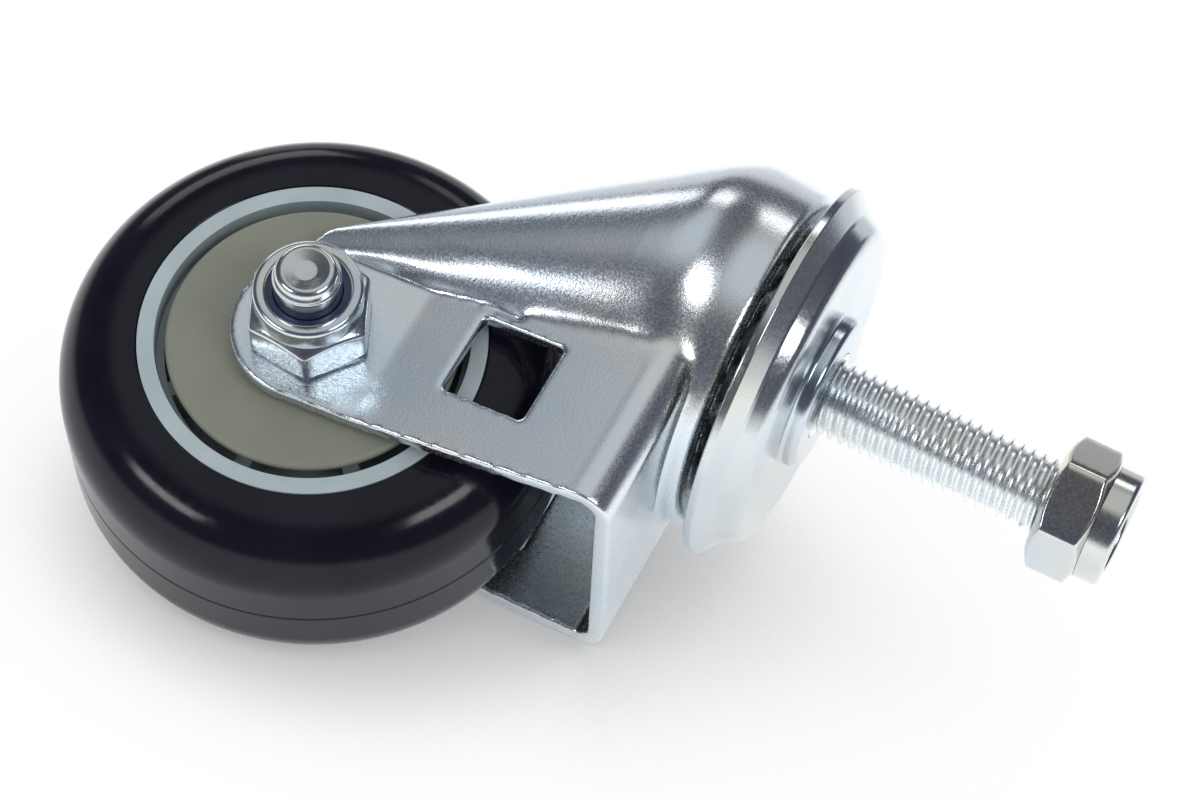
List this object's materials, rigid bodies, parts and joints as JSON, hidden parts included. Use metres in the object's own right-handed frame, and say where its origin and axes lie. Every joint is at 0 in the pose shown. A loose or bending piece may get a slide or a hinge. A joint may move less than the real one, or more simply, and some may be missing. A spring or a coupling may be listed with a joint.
{
  "type": "stand castor",
  "caption": "Swivel castor with a threaded stem and lock nut, a ball-race swivel head, a drawn steel fork and a soft tyre on a plastic core, for the leg of a stand.",
  "frame": {"origin": "on the swivel axis, on the boss face that the stand's foot sits on", "axes": "+Z along the swivel axis up the stem, +X towards the trailing wheel, Y along the axle with the nut at -Y"},
  "size_m": [0.1045, 0.0673, 0.1552],
  "materials": {
    "zinc": "bright zinc plate",
    "fork_zinc": "bright zinc plate with fine grain",
    "steel": "polished bearing steel",
    "nylon": "dark blue nylon",
    "core": "moulded pale blue-grey",
    "guard": "moulded olive grey",
    "tyre": "glossy cast polyurethane"
  },
  "bodies": {
    "head": {"stem": "zinc", "top_cup": "zinc", "lower_race": "steel"},
    "stem_nut": {"stem_nut": "zinc", "stem_nut_insert": "nylon"},
    "upper_ring": {"upper_balls": "steel"},
    "lower_ring": {"lower_balls": "steel"},
    "fork": {"fork": "fork_zinc", "axle_bolt": "zinc", "axle_nut": "zinc", "axle_nut_insert": "nylon", "guard_left": "guard", "guard_right": "guard", "axle_spacer": "steel", "bearing_inner_left": "steel", "bearing_inner_right": "steel"},
    "axle_balls": {"bearing_balls_left": "steel", "bearing_balls_right": "steel", "bearing_cage_left": "steel", "bearing_cage_right": "steel"},
    "wheel": {"bearing_outer_left": "steel", "bearing_outer_right": "steel", "wheel_core": "core", "tyre": "tyre"}
  },
  "joints": [
    {"name": "swivel", "type": "hinge", "parent": "head", "child": "fork", "pos_m": [0, 0, 0], "axis": [0, 0, 1], "continuous": true},
    {"name": "wheel_spin", "type": "hinge", "parent": "fork", "child": "wheel", "pos_m": [0.036, 0, -0.0686], "axis": [0, 1, 0], "continuous": true},
    {"name": "upper_balls_roll", "type": "hinge", "parent": "head", "child": "upper_ring", "pos_m": [0, 0, 0], "axis": [0, 0, 1], "continuous": true},
    {"name": "lower_balls_roll", "type": "hinge", "parent": "head", "child": "lower_ring", "pos_m": [0, 0, 0], "axis": [0, 0, 1], "continuous": true},
    {"name": "axle_balls_roll", "type": "hinge", "parent": "fork", "child": "axle_balls", "pos_m": [0.036, 0, -0.0686], "axis": [0, 1, 0], "continuous": true},
    {"name": "stem_nut_off", "type": "slide", "parent": "head", "child": "stem_nut", "axis": [0, 0, 1], "range_m": [0, 0.06]}
  ],
  "couplings": [
    {"joint": "upper_balls_roll", "follows": "swivel", "ratio": 0.5},
    {"joint": "lower_balls_roll", "follows": "swivel", "ratio": 0.5},
    {"joint": "axle_balls_roll", "follows": "wheel_spin", "ratio": 0.6209}
  ]
}
